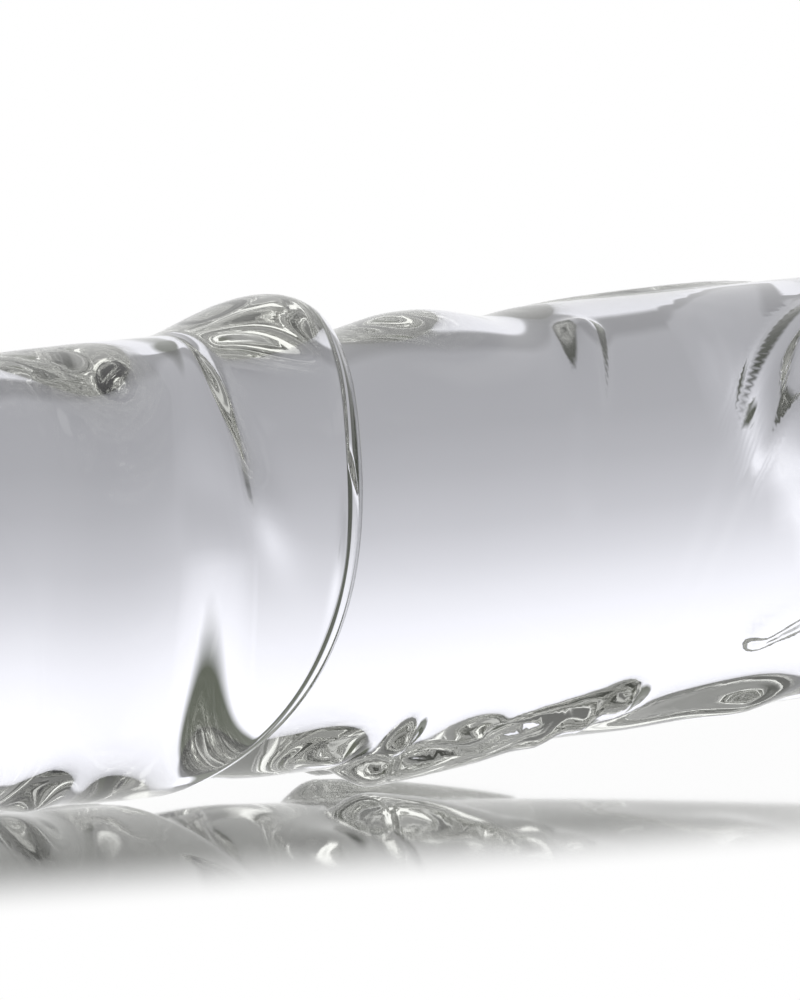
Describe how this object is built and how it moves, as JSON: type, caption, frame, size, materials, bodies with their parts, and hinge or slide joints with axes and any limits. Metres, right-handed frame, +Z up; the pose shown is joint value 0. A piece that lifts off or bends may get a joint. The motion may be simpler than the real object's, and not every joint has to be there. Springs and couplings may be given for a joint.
{
  "type": "glass dip pen",
  "caption": "Clear solid-glass dip pen lying down: push-fit fluted twist nib, thick grip, oblique rolled collar, and a bowed, tapering barrel with wandering raised threads and a ball end.",
  "frame": {"origin": "on the surface that the pen lies on, below the middle of its overall length", "axes": "+X from the nib to the tail, +Z up, and -Y is the side that the collar's lip and most of the threads face"},
  "size_m": [0.168, 0.013, 0.0136],
  "materials": {
    "clear_glass": "clear, colourless, fire-polished glass, high gloss",
    "clear_silicone": "translucent, soft satin silicone rubber"
  },
  "bodies": {
    "holder": {"grip": "clear_glass", "collar": "clear_glass", "barrel": "clear_glass", "tail_bead": "clear_glass", "thread_foot_near": "clear_glass", "thread_foot_far": "clear_glass", "thread_near_diagonal": "clear_glass", "thread_near_branch": "clear_glass", "thread_near_drop": "clear_glass", "thread_top": "clear_glass", "thread_far_loop": "clear_glass", "thread_back_long": "clear_glass", "thread_back_far": "clear_glass"},
    "sleeve": {"nib_sleeve": "clear_silicone"},
    "nib": {"nib": "clear_glass"}
  },
  "joints": [
    {"name": "nib_pull", "type": "slide", "parent": "holder", "child": "sleeve", "axis": [-0.999, 0, -0.045], "range_m": [0, 0.018]},
    {"name": "nib_turn", "type": "hinge", "parent": "sleeve", "child": "nib", "pos_m": [-0.056, 0, 0.00467], "axis": [-0.999, 0, -0.045], "continuous": true}
  ]
}
